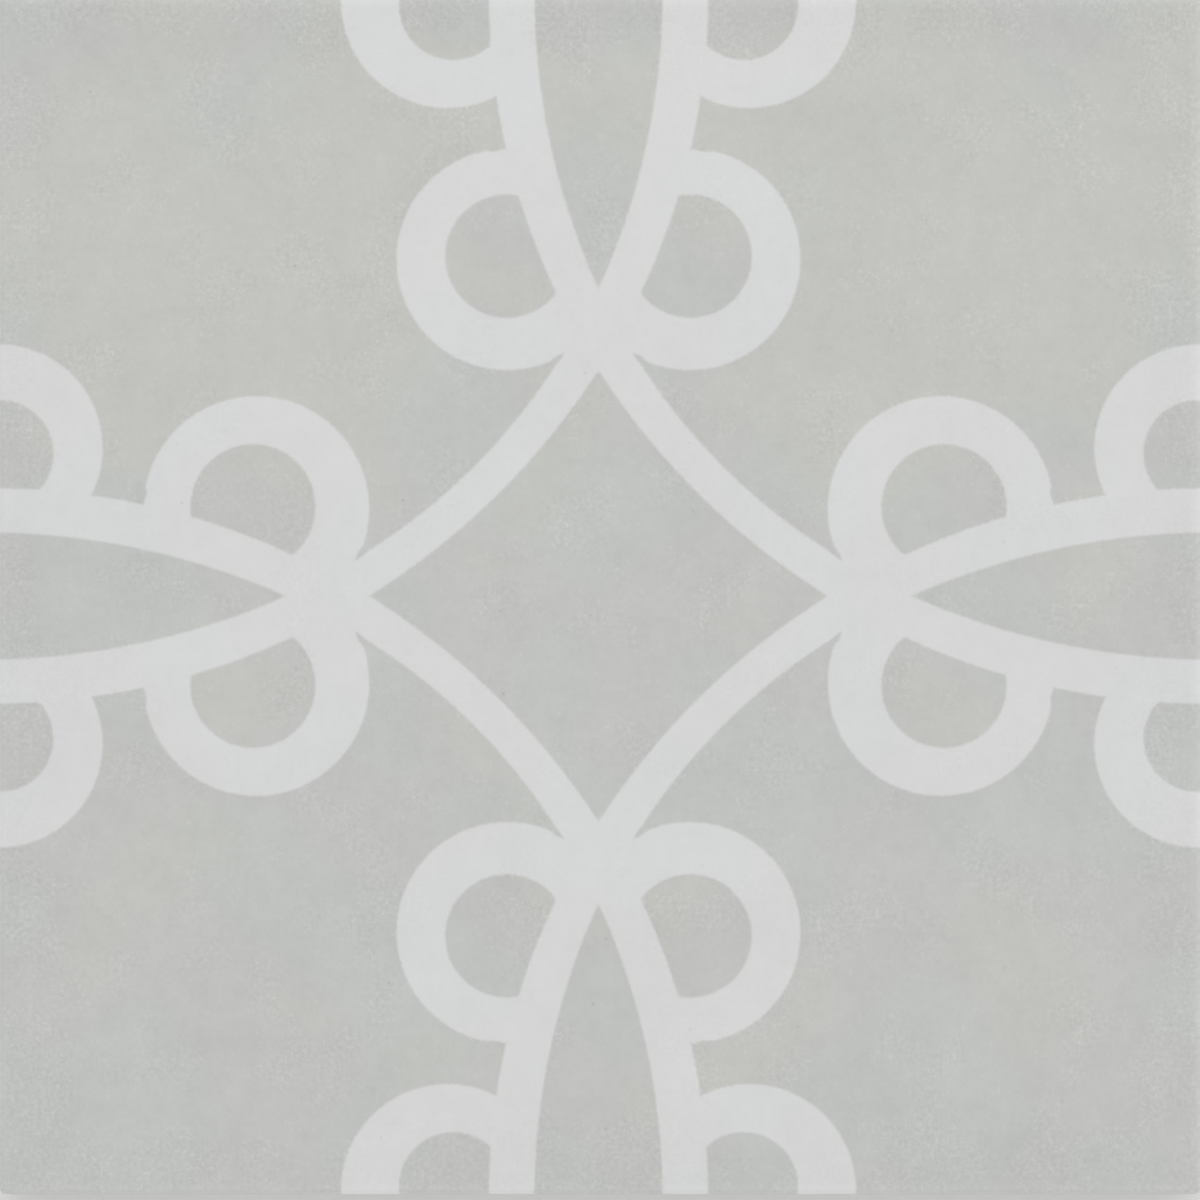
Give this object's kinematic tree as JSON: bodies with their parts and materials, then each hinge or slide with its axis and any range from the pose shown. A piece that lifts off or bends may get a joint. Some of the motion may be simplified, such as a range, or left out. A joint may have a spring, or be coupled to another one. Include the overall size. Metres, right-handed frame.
{
  "type": "porcelain floor tile",
  "caption": "Square pressed porcelain floor tile with a matt face printed with interlaced arcs and loops, rounded arrises, drawn-in sides and a ribbed back that keys into adhesive.",
  "frame": {"origin": "middle of the back, on the plane of the ribs that the tile lies on", "axes": "+Z out of the printed face, +X and +Y square to the sides, towards the right and the top of the picture"},
  "size_m": [0.2, 0.2, 0.009],
  "materials": {
    "porcelain": "matte"
  },
  "bodies": {
    "root": {"floor_tile": "porcelain"}
  },
  "joints": []
}
